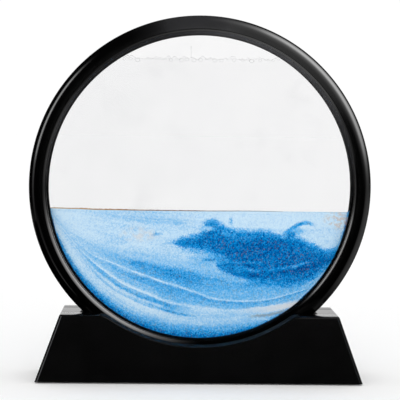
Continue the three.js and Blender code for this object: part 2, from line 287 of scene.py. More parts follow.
# %% [markdown]
# ## Studio for reflections
#
# Black gloss plastic shows little but its reflections. Area lamps could make them, but they would light
# the sand as well, so mirrored rays see a studio of their own, drawn on the sky: a wide soft box at the
# upper right, a narrow one at the left, a dim wall at the upper front, parts of the white sheet to the
# lower left, below and to the lower right, and a white backdrop straight behind. Each is placed by two
# readings of the mirrored direction: its angle round the frame's axis, and how far it leans to the front
# or the back.

# %% Studio for reflections
TURN_START = 120
BACKDROP = 0.98

world = bpy.data.worlds.new("Room")
scene.world = world
world.use_nodes = True
sky = Nodes(world.node_tree)
to_x, to_y, to_z = sky.get("Generated", "TexCoord").split()
ray_turns = sky.math("ARCTAN2", to_z, to_x) * (1 / (2 * math.pi))
turn_share = sky.math("FRACT", ray_turns - TURN_START / 360)
lean_share = to_y * 0.5 + 0.5


def glow(level, round_axis, front_to_back):
    """A soft box: brightness by degrees round the axis and by lean, -1 at the front to 1 behind."""
    turns = sorted(((degrees - TURN_START) % 360 / 360, share) for degrees, share in round_axis)
    leans = [((lean + 1) / 2, share) for lean, share in front_to_back]
    around = turn_share.line([(0, 0), *turns, (1, 0)])
    across = lean_share.line([(0, 0), *leans, (1, 0)])
    return around * across * level


right_box = glow(
    7.0,
    [(350, 0), (0, 0.07), (15, 0.65), (30, 0.9), (45, 1), (60, 0.8), (75, 0.1), (84, 0.02), (90, 0)],
    [
        (-0.75, 0), (-0.46, 0.08), (-0.31, 0.16), (-0.16, 0.44), (0.02, 0.92),
        (0.1, 1), (0.22, 0.88), (0.45, 0.36), (0.75, 0),
    ],
)
left_box = glow(
    4.6,
    [(128, 0), (138, 0.4), (148, 1), (166, 0.92), (175, 0.2), (190, 0.05), (205, 0)],
    [(-0.2, 0), (-0.12, 0.4), (-0.04, 1), (0.08, 1), (0.16, 0.4), (0.24, 0)],
)
front_wall = glow(
    0.9,
    [(12, 0), (22, 0.15), (30, 0.5), (45, 0.75), (60, 0.9), (70, 0.85), (80, 0.25), (88, 0)],
    [(-0.99, 0.85), (-0.75, 0.95), (-0.3, 1), (0.2, 0.8), (0.6, 0.2), (0.8, 0)],
)
sheet_left = glow(
    1.0,
    [
        (185, 0), (196, 0.14), (210, 0.34), (222, 0.9), (240, 1),
        (255, 0.95), (270, 0.75), (285, 0.45), (318, 0),
    ],
    [(-0.5, 0), (-0.36, 0.8), (-0.28, 1), (0.3, 1), (0.6, 0.8), (0.85, 0.5), (0.95, 0)],
)
sheet_right = glow(
    0.5,
    [(312, 0), (318, 0.1), (330, 0.85), (345, 1), (356, 0.6), (5, 0)],
    [(-0.35, 0), (-0.25, 0.4), (-0.1, 0.9), (0.02, 1), (0.3, 0.9), (0.5, 0.65), (0.7, 0.4), (0.85, 0)],
)
sheet_below = glow(
    0.5,
    [(285, 0), (300, 0.35), (316, 0.24), (326, 0)],
    [(-0.35, 0), (-0.25, 0.4), (-0.1, 0.9), (0.02, 1), (0.1, 0.9), (0.2, 0)],
)
front_wall = front_wall * to_y.span(-0.993, -0.982)
backdrop = to_y.span(0.9, 0.975) * BACKDROP
studio = right_box + left_box + front_wall + sheet_left + sheet_right + sheet_below + backdrop
print("studio nodes:", len(world.node_tree.nodes))

# %% [markdown]
# ## Room
#
# The object stands on a white sheet under a white sky. Lamps could light it, but a sky that is brighter
# in front lights the sand plainly and evenly, down to the rim. Where the camera sees the sky it is a
# touch above white, so that the sheet's far edge draws no line through the glass. The sheet shows white
# and throws little light back up. A black card to the left of the stand, which only mirrored rays meet,
# keeps the ring's lower left dark.

# %% Room
SKY = 0.95
WHITE_WALL = 1.025
FRONT_FILL = 3.0
SHEET_SHADE = 0.945
SHEET_BOUNCE = 0.3
SHEET_HALF = 12.0
CARD_LOW = (-400 * MM, -36 * MM)
CARD_HIGH = (-88 * MM, 200 * MM)

fill = to_y.span(-0.7, -0.95) * FRONT_FILL
plain = sky.mix(sky.get("Is Camera Ray", "LightPath"), fill + SKY, WHITE_WALL)
strength = sky.mix(sky.get("Is Glossy Ray", "LightPath"), plain, studio)
white = sky.get(0, "Background", {"Color": (1, 1, 1, 1), "Strength": strength})
sky.add("OutputWorld", {"Surface": white})


def lay_flat(name, material, low, high):
    """A rectangle on the table, between two (x, y) corners, that belongs to the room."""
    mesh = bpy.data.meshes.new(name)
    corners = [(*low, 0), (high[0], low[1], 0), (*high, 0), (low[0], high[1], 0)]
    mesh.from_pydata(corners, [], [(0, 1, 2, 3)])
    mesh.materials.append(material)
    flat = bpy.data.objects.new(name, mesh)
    scene.collection.objects.link(flat)
    return flat


def paper_material(name, seen_shade, bounce_shade):
    """Plain paper that the camera sees in one shade while it throws light back by another."""
    material, nodes = new_material(name)
    shade = nodes.mix(nodes.get("Is Camera Ray", "LightPath"), bounce_shade, seen_shade)
    nodes.surface(nodes.shader("Diffuse", {"Color": nodes.join(shade, shade, shade)}))
    return material


white_sheet = paper_material("White sheet", SHEET_SHADE, SHEET_BOUNCE)
sheet = lay_flat("Sheet", white_sheet, (-SHEET_HALF, -SHEET_HALF), (SHEET_HALF, SHEET_HALF))
sheet.visible_glossy = False
card = lay_flat("Card", paper_material("Black card", 0.0, 0.0), CARD_LOW, CARD_HIGH)
card.visible_camera = False
card.visible_diffuse = False
card.visible_shadow = False
card.visible_transmission = False
print("room: sky", SKY, "with", FRONT_FILL, "more in front")

# %% [markdown]
# ## Making pieces
#
# A piece is made from corners and faces, by turning an outline round the frame's axis, or by stacking
# closed sections. Modifiers could do both, but finished meshes need nothing applied later. Each piece is
# named, smoothed, painted, tied to its body and takes the place of its CAD node.

# %% Making pieces
SAME_PLACE = 1e-7


def make(name, shape, material, body, nodes=(), smooth_angle=30):
    """A mesh piece in the row frame that rides a body and stands for CAD nodes."""
    corners, faces = shape
    mesh = bpy.data.meshes.new(name)
    mesh.from_pydata([tuple(corner) for corner in corners], [], faces)
    work = bmesh.new()
    work.from_mesh(mesh)
    bmesh.ops.remove_doubles(work, verts=work.verts, dist=SAME_PLACE)
    bmesh.ops.recalc_face_normals(work, faces=work.faces)
    work.to_mesh(mesh)
    work.free()
    mesh.polygons.foreach_set("use_smooth", [True] * len(mesh.polygons))
    mesh.set_sharp_from_angle(angle=math.radians(smooth_angle))
    mesh.materials.append(material)
    obj = bpy.data.objects.new(name, mesh)
    scene.collection.objects.link(obj)
    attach(obj, body)
    if nodes:
        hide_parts(*nodes)
    return obj


def paint(node, material):
    """A CAD node keeps its shape and takes a material."""
    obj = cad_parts[node]
    obj.data.materials.clear()
    obj.data.materials.append(material)


def stacked_mesh(sections, closed=False):
    """Corners and faces over sections of equal counts, joined to a ring or with both ends filled."""
    corners = [corner for section in sections for corner in section]
    count = len(sections[0])
    last = len(corners) - count
    faces = []
    for low in range(0, len(corners) if closed else last, count):
        high = (low + count) % len(corners)
        for i in range(count):
            j = (i + 1) % count
            faces.append((low + i, high + i, high + j, low + j))
    if not closed:
        faces.append(tuple(range(count)))
        faces.append(tuple(last + i for i in reversed(range(count))))
    return corners, faces


def turned_mesh(outline, steps):
    """Corners and faces of a closed outline of (radius, y) turned round the frame's axis."""
    sections = []
    for step in range(steps):
        angle = 2 * math.pi * step / steps
        right, up = math.sin(angle), math.cos(angle)
        sections.append([(radius * right, y, CENTRE_Z + radius * up) for radius, y in outline])
    return stacked_mesh(sections, closed=True)


def slab_mesh(outline, front, back):
    """Corners and faces of an outline of (x, z) that reaches from one y to another."""
    return stacked_mesh([[(x, y, z) for x, z in outline] for y in (front, back)])


def arc(centre, radius, start, stop, steps):
    """Points on a circle, angles in degrees."""
    angles = np.radians(np.linspace(start, stop, steps + 1))
    return [(centre[0] + radius * math.cos(a), centre[1] + radius * math.sin(a)) for a in angles]


print("piece makers ready")

# %% [markdown]
# ## Black plastic
#
# Frame and stand are moulded in the same black plastic. It has a deep gloss with a faint waviness from
# the mould, and fine smears that change how sharp the gloss is. A flat black would do from afar, but
# close up it looks cut out. A painted sheen, patchy with the smears, greys the top of the ring's face
# and its lip a little, where the gloss shows a haze of light. The ring's inner bevel is buffed to a
# harder gloss, the lip is dull, and the stand's cradle is scuffed where the ring turns in it.

# %% Black plastic
CREASE_EDGE = FRAME_RADIUS - 7.5 * MM
LIP_EDGE = FRAME_RADIUS - 9.6 * MM
FACE_SHEEN_TONE = 0.024
LIP_SHEEN_TONE = 0.085
SMEAR_SCALE = 60.0
SPECK_SCALE = 900.0
WAVE_SCALE = 220.0
WAVE_DEPTH = 0.02 * MM

# Painted sheen on the ring's face and along its lip, by half turns from the right over the top
FACE_SHEEN = [
    (0, 0), (0.38, 0), (0.43, 0.4), (0.47, 0.9), (0.52, 1), (0.58, 0.45), (0.62, 0.1), (0.67, 0), (1, 0),
]
LIP_SHEEN = [
    (0, 0.05), (0.08, 0.25), (0.17, 0.6), (0.25, 0.8), (0.33, 1), (0.42, 0.98), (0.5, 0.67),
    (0.58, 0.34), (0.67, 0.26), (0.83, 0.22), (0.92, 0.12), (1, 0.02),
]


def painted_ring_sheen(place, smear, tone, reach, bare, covered):
    """How much painted sheen greys a point of the ring, by its angle and its distance from the axis."""
    x, _, z = place.split()
    rise = z - CENTRE_Z
    half_turns = place.nodes.math("ARCTAN2", rise, x) / math.pi
    away = place.nodes.math("SQRT", x * x + rise * rise)
    patchy = smear.scaled(0.6 * tone, 1.4 * tone)
    return half_turns.line(reach) * away.span(bare, covered) * patchy


# Painted sheen on the top of the ring's face and on its lip, where the gloss shows a haze of light
def face_sheen(place, smear):
    return painted_ring_sheen(place, smear, FACE_SHEEN_TONE, FACE_SHEEN, CREASE_EDGE, CREASE_EDGE + 0.5 * MM)


def lip_sheen(place, smear):
    bare = LIP_EDGE + 1.5 * MM
    return painted_ring_sheen(place, smear, LIP_SHEEN_TONE, LIP_SHEEN, bare, LIP_EDGE + 0.7 * MM)


def black_plastic(name, base, gloss, gloss_spread, index, painted_light=None):
    material, nodes = new_material(name)
    place = nodes.place()
    smear = place.noise(SMEAR_SCALE, 4.0, 0.6)
    tone = smear.scaled(base * 0.6, base * 1.4)
    if painted_light:
        tone = tone + painted_light(place, smear)
    speck = place.sway(SPECK_SCALE) * 0.02
    rough = smear.scaled(gloss - gloss_spread, gloss + gloss_spread) + speck
    ripple = nodes.bump(place.noise(WAVE_SCALE, 1.0), WAVE_DEPTH, 0.2)
    inputs = {"Base Color": nodes.join(tone, tone, tone * 1.06), "Roughness": rough}
    nodes.surface(nodes.shader("Principled", {**inputs, "IOR": index, "Normal": ripple}))
    return material


# The frame's plastics carry the painted sheen
frame_black = black_plastic("Frame black plastic", 0.0004, 0.13, 0.04, 1.5, face_sheen)
bevel_black = black_plastic("Buffed black plastic", 0.0004, 0.1, 0.03, 1.66, lip_sheen)
lip_black = black_plastic("Dull lip plastic", 0.0004, 0.6, 0.1, 1.1, lip_sheen)
scuffed_black = black_plastic("Scuffed cradle plastic", 0.001, 0.55, 0.08, 1.12)
print("black plastics:", [m.name for m in (frame_black, bevel_black, lip_black, scuffed_black)])

# %% [markdown]
# ## Section of the ring
#
# The ring's section has a quarter-round outside, a crease, a slightly bulging inner bevel and a lip that
# turns over towards the glass. Bevel modifiers could round a plain block, but the bands of light on the
# ring follow its slopes closely, so each part of the section is drawn by its slope.

# %% Section of the ring
ROUND = 8.3 * MM
FACE_SLOPE = 6
BEVEL_START = 40
BEVEL_STOP = 51
BEVEL_WIDTH = 1.95 * MM
CREASE_ROUND = 0.3 * MM
SEAM = 0.3 * MM
HALF_GAP = 0.01 * MM
pocket_radius = GLASS_RADIUS + 0.4 * MM


def sloped_arc(start, width, first, last, steps):
    """Points inward from start along a curve whose slope goes from first to last, in degrees."""
    slopes = np.radians(np.linspace(first, last, steps + 1))
    bend = width / (math.sin(slopes[-1]) - math.sin(slopes[0]))
    points = []
    for slope in slopes[1:]:
        inward = bend * (math.sin(slope) - math.sin(slopes[0]))
        points.append((start[0] - inward, start[1] + bend * (math.cos(slopes[0]) - math.cos(slope))))
    return points


def bezel_outline(lip_radius):
    """The front bezel's section, as (radius, y) from the seam round the front and back to the seam."""
    outline = [(FRAME_RADIUS - SEAM, -HALF_GAP), (FRAME_RADIUS, -SEAM)]
    outline += arc((FRAME_RADIUS - ROUND, ROUND - HALF_DEPTH), ROUND, 0, FACE_SLOPE - 90, 28)
    crease_sines = math.sin(math.radians(BEVEL_START)) + math.sin(math.radians(FACE_SLOPE))
    outline += sloped_arc(outline[-1], CREASE_ROUND * crease_sines, -FACE_SLOPE, BEVEL_START, 5)
    outline += sloped_arc(outline[-1], BEVEL_WIDTH, BEVEL_START, BEVEL_STOP, 8)
    outline += sloped_arc(outline[-1], outline[-1][0] - lip_radius, BEVEL_STOP, 90, 10)
    outline += [(lip_radius, -GLASS_FACE), (pocket_radius, -GLASS_FACE), (pocket_radius, -HALF_GAP)]
    return outline


front_section = bezel_outline(LIP_RADIUS)
print("points in the ring's section:", len(front_section))

# %% [markdown]
# ## Bezels
#
# Two half rings meet in a fine seam and hold the panes. The rear one is the front one mirrored, with an
# opening a little wider, so that the front lip hides it from the viewer. The filler plug sits in a bore
# at the top, cut by a Boolean modifier, which is then applied.

# %% Bezels
REAR_EXTRA = 0.9 * MM
RING_STEPS = 288
PLUG_BORE = 3.2 * MM
BORE_STEPS = 32


def cut_bore(bezel):
    """Cuts the filler plug's round bore into the top of a bezel."""
    circle = arc((0, 0), PLUG_BORE, 0, 360, BORE_STEPS)[:-1]
    levels = (CENTRE_Z + pocket_radius - MM, CENTRE_Z + FRAME_RADIUS + MM)
    corners, faces = stacked_mesh([[(x, y, z) for x, y in circle] for z in levels])
    mesh = bpy.data.meshes.new("bore")
    mesh.from_pydata(corners, [], faces)
    cutter = bpy.data.objects.new("bore", mesh)
    scene.collection.objects.link(cutter)
    modifier = bezel.modifiers.new("Bore", "BOOLEAN")
    modifier.object = cutter
    depsgraph = bpy.context.evaluated_depsgraph_get()
    cut_mesh = bpy.data.meshes.new_from_object(bezel.evaluated_get(depsgraph))
    bezel.modifiers.clear()
    bezel.data = cut_mesh
    bpy.data.objects.remove(cutter)


def finish_bevel(bezel):
    """Gives the bevel inside the crease its harder gloss, and the lip its dull face."""
    bezel.data.materials.append(bevel_black)
    bezel.data.materials.append(lip_black)
    for polygon in bezel.data.polygons:
        x, y, z = polygon.center
        away = math.hypot(x, z - CENTRE_Z)
        if away < CREASE_EDGE and abs(y) > GLASS_FACE + 0.1 * MM:
            polygon.material_index = 1 if away > LIP_EDGE else 2


rear_section = [(radius, -y) for radius, y in reversed(bezel_outline(LIP_RADIUS + REAR_EXTRA))]
for side, section in (("front", front_section), ("rear", rear_section)):
    shape = turned_mesh(section, RING_STEPS)
    bezel = make(f"ring_{side}", shape, frame_black, "frame", [f"{side}_bezel"], 40)
    cut_bore(bezel)
    finish_bevel(bezel)
    print(bezel.name, len(bezel.data.vertices), "corners")

# %% [markdown]
# ## Shape of the stand
#
# The stand is a moulded trapezoid with a slot along it and a round scallop in its top, where the ring
# stands. A block could be cut with Boolean shapes, but the scallop rolls into the flat top without an
# edge. So functions give the height of the top and of the slot's floor along the stand, and how far the
# walls and the ends stand out at each height.

# %% Shape of the stand
EDGE = 0.9 * MM
SCALLOP_EDGE = 0.35 * MM
SCALLOP_RADIUS = FRAME_RADIUS - 8 * MM
SCALLOP_BLEND = 8 * MM
SLOT_RADIUS = FRAME_RADIUS + 0.3 * MM
TOP_HALF_WIDTH = 72.3 * MM
TOP_HALF_DEPTH = 22.6 * MM
stand_top = stand_high.z
stand_foot = stand_low.z
half_width = stand_high.x
half_depth = stand_high.y

blend_z = stand_top - SCALLOP_BLEND
blend_x = math.sqrt((SCALLOP_RADIUS + SCALLOP_BLEND) ** 2 - (CENTRE_Z - blend_z) ** 2)
meet_x = blend_x * SCALLOP_RADIUS / (SCALLOP_RADIUS + SCALLOP_BLEND)


def top_at(x):
    """Height of the stand's upper face."""
    x = abs(x)
    if x >= blend_x:
        return stand_top
    if x >= meet_x:
        return blend_z + math.sqrt(SCALLOP_BLEND**2 - (blend_x - x) ** 2)
    return CENTRE_Z - math.sqrt(SCALLOP_RADIUS**2 - x**2)


def slot_at(x):
    """Height of the slot's floor, or of the upper face where the slot has ended."""
    return min(top_at(x), CENTRE_Z - math.sqrt(max(SLOT_RADIUS**2 - x**2, 0)))


def edge_at(x):
    """Radius of the long upper edges, which are sharper down in the scallop."""
    depth = stand_top - top_at(x)
    return EDGE + (SCALLOP_EDGE - EDGE) * min(depth / SCALLOP_BLEND, 1)


def up_share(z):
    return (z - stand_foot) / (stand_top - stand_foot)


def wall_at(z, inset):
    """How far the long walls stand from the middle at a height."""
    return half_depth + (TOP_HALF_DEPTH - half_depth) * up_share(z) - inset


def end_at(z):
    """How far the sloping ends stand from the middle at a height."""
    return half_width + (TOP_HALF_WIDTH - half_width) * up_share(z)


print(f"stand: top at {stand_top / MM:.1f} mm, scallop down to {top_at(0) / MM:.1f} mm")

# %% [markdown]
# ## Sections of the stand
#
# The block has rounded upper edges, a slot with softened edges, and a recess below for the cover. A
# bevel modifier rounds all edges alike, so the block is drawn as upright sections with a skin over them,
# each with the height and the rounding of its own place. The last ones lean with the sloping ends and
# round them off.

# %% Sections of the stand
SLOT_EDGE = 0.7 * MM
SLOT_HALF = HALF_DEPTH + 0.3 * MM
LEAST_EDGE = 0.05 * MM
LEAST_LIP = 0.01 * MM
RIM = 1.2 * MM
COVER_ROOM = 2.05 * MM
STRAIGHT = 64 * MM
STRAIGHT_SECTIONS = 97
SLOT_ENDS = (61.9 * MM, 62.2 * MM)
END_ROUND = 0.5 * MM


def half_section(x, inset, room):
    """The front half of a section, as (y, z) from the cover's recess, round the wall, to the slot."""
    top = top_at(x) - inset
    slot = min(slot_at(x), top)
    edge = max(edge_at(x) - inset, LEAST_EDGE)
    lip = min(SLOT_EDGE, (top - slot) / 2 + LEAST_LIP)
    foot = wall_at(stand_foot, inset)
    rim = foot - RIM
    points = [(0, stand_foot + room), (-rim, stand_foot + room), (-rim, stand_foot), (-foot, stand_foot)]
    wall = wall_at(top - edge, inset)
    points += arc((-wall + edge, top - edge), edge, 180, 90, 6)
    points += arc((-SLOT_HALF - lip, top - lip), lip, 90, 0, 4)
    points += [(-SLOT_HALF, slot), (0, slot)]
    return points


def stand_stations():
    """(x, share of the lean, distance from the end, inset, recess) from the left end to the right."""
    inner = list(np.linspace(-STRAIGHT, STRAIGHT, STRAIGHT_SECTIONS))
    inner += [sign * side for sign in (-1, 1) for side in (blend_x, meet_x, *SLOT_ENDS)]
    middle = [(x, 0.0, 0.0, 0.0, COVER_ROOM) for x in sorted(inner)]
    right = [(STRAIGHT, share, 0.0, 0.0, COVER_ROOM) for share in (0.25, 0.5, 0.75, 0.9)]
    for angle in np.radians(np.linspace(0, 90, 7)):
        back = END_ROUND * (1 - math.sin(angle))
        right.append((STRAIGHT, 1.0, back, END_ROUND * (1 - math.cos(angle)), 0.0))
    left = [(-x, *rest) for x, *rest in reversed(right)]
    return left + middle + right


def place_section(x, share, back, inset, room):
    """A section's closed outline as corners in the row frame."""
    front = half_section(x, inset, room)
    outline = front + [(-y, z) for y, z in reversed(front[1:-1])]
    corners = []
    for y, z in outline:
        along = abs(x) + (end_at(z) - abs(x)) * share - back
        corners.append((math.copysign(along, x), y, z))
    return corners


stand_sections = [place_section(*station) for station in stand_stations()]
print("stand sections:", len(stand_sections))

# %% [markdown]
# ## Finish of the stand
#
# The stand is as glossy as the frame. A thin grey line along the edges of its sloping ends, weaker at
# the right, is a painted highlight where the rounded edges catch the light from the left. Use has left a
# scuffed cradle and duller flat lands beside the ring. These could be painted by hand. Here the line is
# worked out from the distance to the end, and the other two are materials for the faces that look up.

# %% Finish of the stand
HIGHLIGHT_HALF_WIDTH = 0.4 * MM
HIGHLIGHT_INSET = 1.2 * MM
HIGHLIGHT_TONE = 0.075
HIGHLIGHT_SHARE_RIGHT = 0.2
FACES_UP = 0.5
FACES_STRAIGHT_UP = 0.95


def painted_edge_highlight(place, smear):
    """A painted highlight: a thin grey line where the long walls turn into the sloping ends."""
    x, _, z = place.split()
    inward = z.span(stand_foot, stand_top, half_width, TOP_HALF_WIDTH, "LINEAR") - abs(x)
    line = inward.window(HIGHLIGHT_INSET - HIGHLIGHT_HALF_WIDTH, HIGHLIGHT_INSET, HIGHLIGHT_INSET, HIGHLIGHT_INSET + HIGHLIGHT_HALF_WIDTH)
    below_top = z.span(stand_top - EDGE / 2, stand_top - EDGE)
    tone = x.span(-STRAIGHT, STRAIGHT, HIGHLIGHT_TONE, HIGHLIGHT_SHARE_RIGHT * HIGHLIGHT_TONE)
    return line * below_top * tone * smear.scaled(0.5, 1.5)


# The stand's plastic carries the painted edge highlight
stand_black = black_plastic("Stand black plastic", 0.0011, 0.11, 0.04, 1.5, painted_edge_highlight)
stand_shape = stacked_mesh(stand_sections)
stand = make("stand_block", stand_shape, stand_black, "stand", ["stand_shell"], 40)
stand.data.materials.append(scuffed_black)
stand.data.materials.append(black_plastic("Dull land plastic", 0.0011, 0.12, 0.04, 1.24))
for polygon in stand.data.polygons:
    beside_ring = abs(polygon.center.x) > blend_x
    if polygon.normal.z > FACES_UP and not beside_ring:
        polygon.material_index = 1
    if polygon.normal.z > FACES_STRAIGHT_UP and beside_ring:
        polygon.material_index = 2
print("stand:", len(stand.data.vertices), "corners")

# %% [markdown]
# ## Panes
#
# The two panes are clear. Real refraction would be slow and would hardly shift the view, so most light
# passes straight through, and a little is mirrored, more at a slant. Only the outer faces mirror,
# because the inner ones are wet. A faint film of smears takes a little light away.

# %% Panes
GLASS_INDEX = 1.5
PANE_TINT = (0.986, 0.986, 0.987, 1)
SMEAR_TINT = (0.55, 0.56, 0.58, 1)


def pane_material():
    material, nodes = new_material("Pane glass")
    place = nodes.place()
    y = place.split()[1]
    smear = place.noise(45.0, 5.0, 0.65)
    polish = {"Base Color": (1, 1, 1, 1), "Metallic": 1.0, "Roughness": smear.scaled(0.02, 0.06)}
    tint = nodes.blend(smear.span(0.5, 0.8) * 0.05, PANE_TINT, SMEAR_TINT)
    outside = 1.0 - nodes.get("Backfacing", "NewGeometry")
    dry = outside * abs(y).span((GLASS_FACE + CELL_HALF) / 2, GLASS_FACE - 0.2 * MM)
    mirrored = nodes.get(0, "Fresnel", {"IOR": GLASS_INDEX}) * dry
    nodes.see_through(mirrored, nodes.shader("Principled", polish), tint)
    return material


clear_pane = pane_material()
for pane in ("front_glass", "rear_glass"):
    paint(pane, clear_pane)
print("panes of", clear_pane.name)

# %% [markdown]
# ## Liquid
#
# Clear liquid fills the cell from the sand up to an air pocket, and is a little dimmer to the left. Its
# upper edge bulges over bubbles. It could bend light as real liquid does, but between flat panes that
# shows only along this edge, so the liquid just tints what passes.

# %% Liquid
LIQUID_HALF = CELL_HALF - 0.3 * MM
LIQUID_RADIUS = CELL_RADIUS - 0.2 * MM
LIQUID_TINTS = [(0.993, 0.992, 0.993, 1), (0.965, 0.966, 0.968, 1)]
TINT_REACH = 80 * MM
ARCHES = 46
ARCH_LEAST = 0.4 * MM
ARCH_SPREAD = 1.2 * MM
EDGE_DROP = 0.5 * MM
# Ripples of the upper edge: height in mm, pace along a mm, start
RIPPLES = [(0.1, 1.31, 0.0), (0.08, 2.9, 1.2)]
liquid_rise = LIQUID_TOP - CENTRE_Z
half_chord = math.sqrt(LIQUID_RADIUS**2 - liquid_rise**2)
rng = np.random.default_rng(5)
arch_places = rng.uniform(-0.95, 0.95, ARCHES) * half_chord
arch_sizes = ARCH_LEAST + ARCH_SPREAD * rng.random(ARCHES) ** 2


def liquid_material():
    material, nodes = new_material("Clear liquid")
    place = nodes.place()
    dimmer = place.split()[0].span(-TINT_REACH, TINT_REACH, 1.5, 0.75)
    tint = nodes.blend(place.noise(30.0, 3.0) * dimmer, *LIQUID_TINTS)
    nodes.surface(nodes.shader("Transparent", {"Color": tint}))
    return material


def liquid_edge(x):
    """The liquid's upper edge, which bulges up over bubbles."""
    ripple = sum(height * math.sin(x / MM * pace + start) for height, pace, start in RIPPLES)
    bulge = 0.0
    for centre, size in zip(arch_places, arch_sizes):
        bulge = max(bulge, math.sqrt(max(size**2 - (x - centre) ** 2, 0)))
    return LIQUID_TOP + ripple * MM - EDGE_DROP + bulge


low_angle = math.asin((SAND_TOP - CENTRE_Z) / LIQUID_RADIUS)
high_angle = math.asin(liquid_rise / LIQUID_RADIUS)
right_side = arc((0, CENTRE_Z), LIQUID_RADIUS, math.degrees(low_angle), math.degrees(high_angle), 39)
upper = [(x, liquid_edge(x)) for x in np.linspace(half_chord, -half_chord, 240)[1:-1]]
outline = right_side + upper + [(-x, z) for x, z in reversed(right_side)]
shape = slab_mesh(outline, -LIQUID_HALF, LIQUID_HALF)
liquid = make("liquid_clear", shape, liquid_material(), "contents", ["liquid"])
print("liquid:", len(liquid.data.vertices), "corners")

# %% [markdown]
# ## Edge of the liquid
#
# Where the liquid ends it climbs the panes a little. This thin curved edge, the meniscus, looks grey, as
# its curve bends light away. A curved film could be modelled, but it is too thin to see its form. A
# strip along the edge, and a narrow one for a drip that runs up into the air pocket, let most light
# through and show that grey as painted shade.

# %% Edge of the liquid
MENISCUS = 0.17 * MM
EDGE_GREY = (0.3, 0.3, 0.31, 1)
DRIP_X = -5.5 * MM
DRIP_RISE = 6.2 * MM
DRIP_LEFT = 0.5 * MM
DRIP_RIGHT = 0.3 * MM


# Painted shade for the meniscus and the drip, where their curves bend light away
def edge_material():
    material, nodes = new_material("Liquid edge")
    patch = nodes.place().noise(160.0, 3.0)
    shade = patch.span(0.35, 0.65, 0.04, 0.11)
    nodes.see_through(shade, nodes.shader("Diffuse", {"Color": EDGE_GREY}))
    return material


liquid_line = edge_material()
ends = 0.97 * half_chord
edge = [(x, liquid_edge(x)) for x in np.linspace(-ends, ends, 480)]
outline = [(x, z + MENISCUS) for x, z in edge] + [(x, z - MENISCUS) for x, z in reversed(edge)]
make("meniscus", slab_mesh(outline, -LIQUID_HALF, LIQUID_HALF), liquid_line, "contents")

drip_top = LIQUID_TOP + DRIP_RISE
outline = [(DRIP_X - MENISCUS, LIQUID_TOP), (DRIP_X + MENISCUS, LIQUID_TOP)]
outline += [(DRIP_X + DRIP_RIGHT, drip_top), (DRIP_X - DRIP_LEFT, drip_top)]
make("drip", slab_mesh(outline, -LIQUID_HALF, 0), liquid_line, "contents")
print(f"edge of the liquid: {2 * ends / MM:.1f} mm long, drip {DRIP_RISE / MM:.1f} mm high")

# %% [markdown]
# ## Bubbles
#
# A row of small bubbles hangs below the air pocket. Particles could be scattered there, but a loop with
# fixed random numbers lays the same row every time. Each bubble is an egg that is clear in its middle
# and grey towards its outline, where a real one bends the light away.

# %% Bubbles
BUBBLE_GREY = (0.35, 0.35, 0.36, 1)
BUBBLE_LEAST = 0.45 * MM
BUBBLE_SPREAD = 0.9 * MM
BUBBLE_SQUASH = 0.8
ROW_MARGIN = 2 * MM


def bubble_material():
    material, nodes = new_material("Bubble skin")
    patch = nodes.place().noise(500.0)
    facing = nodes.get("Facing", "LayerWeight", {"Blend": 0.5})
    skin = facing**3.0 * patch.scaled(0.3, 0.65)
    nodes.see_through(skin, nodes.shader("Diffuse", {"Color": BUBBLE_GREY}))
    return material


def egg_mesh(centre, radius, height, rings=8, sides=14):
    """Corners and faces of an egg, stacked from circles that shrink to a point at both ends."""
    circles = []
    for lean in np.linspace(0, math.pi, rings + 1):
        circle = arc(centre, radius * math.sin(lean), 0, 360, sides)[:-1]
        circles.append([(x, y, centre[2] + height * math.cos(lean)) for x, y in circle])
    return stacked_mesh(circles)


rng = np.random.default_rng(7)
corners = []
faces = []
x = -half_chord + ROW_MARGIN
while x < half_chord - ROW_MARGIN:
    size = BUBBLE_LEAST + BUBBLE_SPREAD * rng.random() ** 2
    centre = (x, (rng.random() - 0.5) * MM, LIQUID_TOP - size * (0.5 + 0.6 * rng.random()))
    egg_corners, egg_faces = egg_mesh(centre, size, size * BUBBLE_SQUASH)
    faces += [tuple(i + len(corners) for i in face) for face in egg_faces]
    corners += egg_corners
    x += size * (1.7 + 1.8 * rng.random())
bubbles = make("bubble_row", (corners, faces), bubble_material(), "contents", smooth_angle=60)
print("bubble corners:", len(bubbles.data.vertices))

# %% [markdown]
# ## Drift lines
#
# The sand has settled as a landscape of drifts. A simulation of falling sand would end in other forms,
# so the drifts are drawn, by smooth lines. Each corner of a line is a share of the cell's radius to the
# left or right, and a share of the sand's depth upwards.

# %% Drift lines
LINE_RADIUS = 79.7 * MM
LINE_FLOOR = CENTRE_Z - LINE_RADIUS
LINE_DEPTH = 67.6 * MM

crescent_line = [
    (-0.93, 0.78), (-0.85, 0.615), (-0.745, 0.455), (-0.61, 0.309), (-0.475, 0.201), (-0.34, 0.14),
    (-0.21, 0.102), (-0.02, 0.077), (0.11, 0.07), (0.25, 0.084), (0.414, 0.11),
]
thread_line = [
    (-0.92, 0.843), (-0.787, 0.643), (-0.614, 0.419), (-0.435, 0.296), (-0.342, 0.25), (-0.21, 0.212),
    (-0.07, 0.182), (0.04, 0.172), (0.21, 0.177), (0.373, 0.203), (0.54, 0.26),
]
lower_streak = [
    (-0.92, 0.866), (-0.76, 0.651), (-0.6, 0.501), (-0.475, 0.412), (-0.34, 0.344), (-0.21, 0.283),
    (-0.07, 0.253), (0.04, 0.238), (0.25, 0.225), (0.445, 0.251), (0.65, 0.3),
]
upper_streak = [
    (-0.91, 0.885), (-0.794, 0.722), (-0.68, 0.626), (-0.55, 0.57), (-0.41, 0.507), (-0.28, 0.45),
    (-0.14, 0.401), (0.007, 0.344), (0.073, 0.313), (0.18, 0.295), (0.31, 0.288), (0.445, 0.302),
    (0.584, 0.346), (0.69, 0.382),
]
